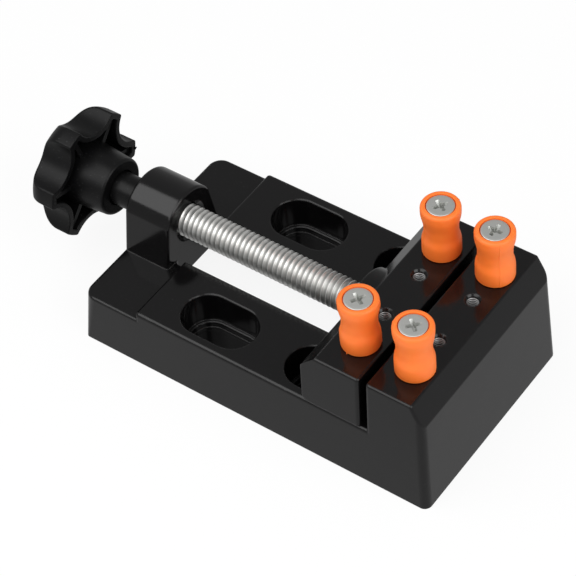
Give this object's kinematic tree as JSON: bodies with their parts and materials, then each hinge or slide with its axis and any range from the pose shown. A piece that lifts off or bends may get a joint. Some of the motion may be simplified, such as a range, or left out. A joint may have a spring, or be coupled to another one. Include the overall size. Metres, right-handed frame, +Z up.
{
  "type": "mini bench vise",
  "caption": "Small cast bench vise with a sliding jaw, a star knob lead screw, soft pegs on both jaws and spare tapped holes.",
  "frame": {"origin": "on the underside of the base, on the centreline, straight below the gripping face of the fixed jaw", "axes": "+X along the lead screw from the knob towards the fixed jaw, +Y across the jaws, +Z up from the bench"},
  "size_m": [0.1421, 0.064, 0.0545],
  "materials": {
    "black_casting": "gloss",
    "plate_steel": "satin",
    "fastener_steel": "satin",
    "screw_zinc": "satin",
    "sleeve_plastic": "satin",
    "knob_plastic": "satin",
    "insert_brass": "satin",
    "peg_plastic": "satin"
  },
  "bodies": {
    "base": {"base_casting": "black_casting", "peg_fixed_near": "peg_plastic", "peg_fixed_far": "peg_plastic", "peg_screw_fixed_near": "fastener_steel", "peg_screw_fixed_far": "fastener_steel"},
    "jaw": {"sliding_jaw": "black_casting", "guide_plate": "plate_steel", "plate_screw_back": "fastener_steel", "plate_screw_front": "fastener_steel", "spring_washer_back": "fastener_steel", "spring_washer_front": "fastener_steel", "retaining_pin_near": "plate_steel", "retaining_pin_far": "plate_steel", "peg_moving_near": "peg_plastic", "peg_moving_far": "peg_plastic", "peg_screw_moving_near": "fastener_steel", "peg_screw_moving_far": "fastener_steel"},
    "screw": {"lead_screw": "screw_zinc", "neck_sleeve": "sleeve_plastic", "star_knob": "knob_plastic", "knob_insert": "insert_brass"}
  },
  "joints": [
    {"name": "jaw_slide", "type": "slide", "parent": "base", "child": "jaw", "axis": [1, 0, 0], "range_m": [-0.055, 0.002]},
    {"name": "screw_turn", "type": "hinge", "parent": "jaw", "child": "screw", "pos_m": [-0.0139, 0, 0.0264], "axis": [1, 0, 0], "range_deg": [-12475, 456]}
  ],
  "couplings": [
    {"joint": "screw_turn", "follows": "jaw_slide", "rad_per_m": 3957.9}
  ]
}
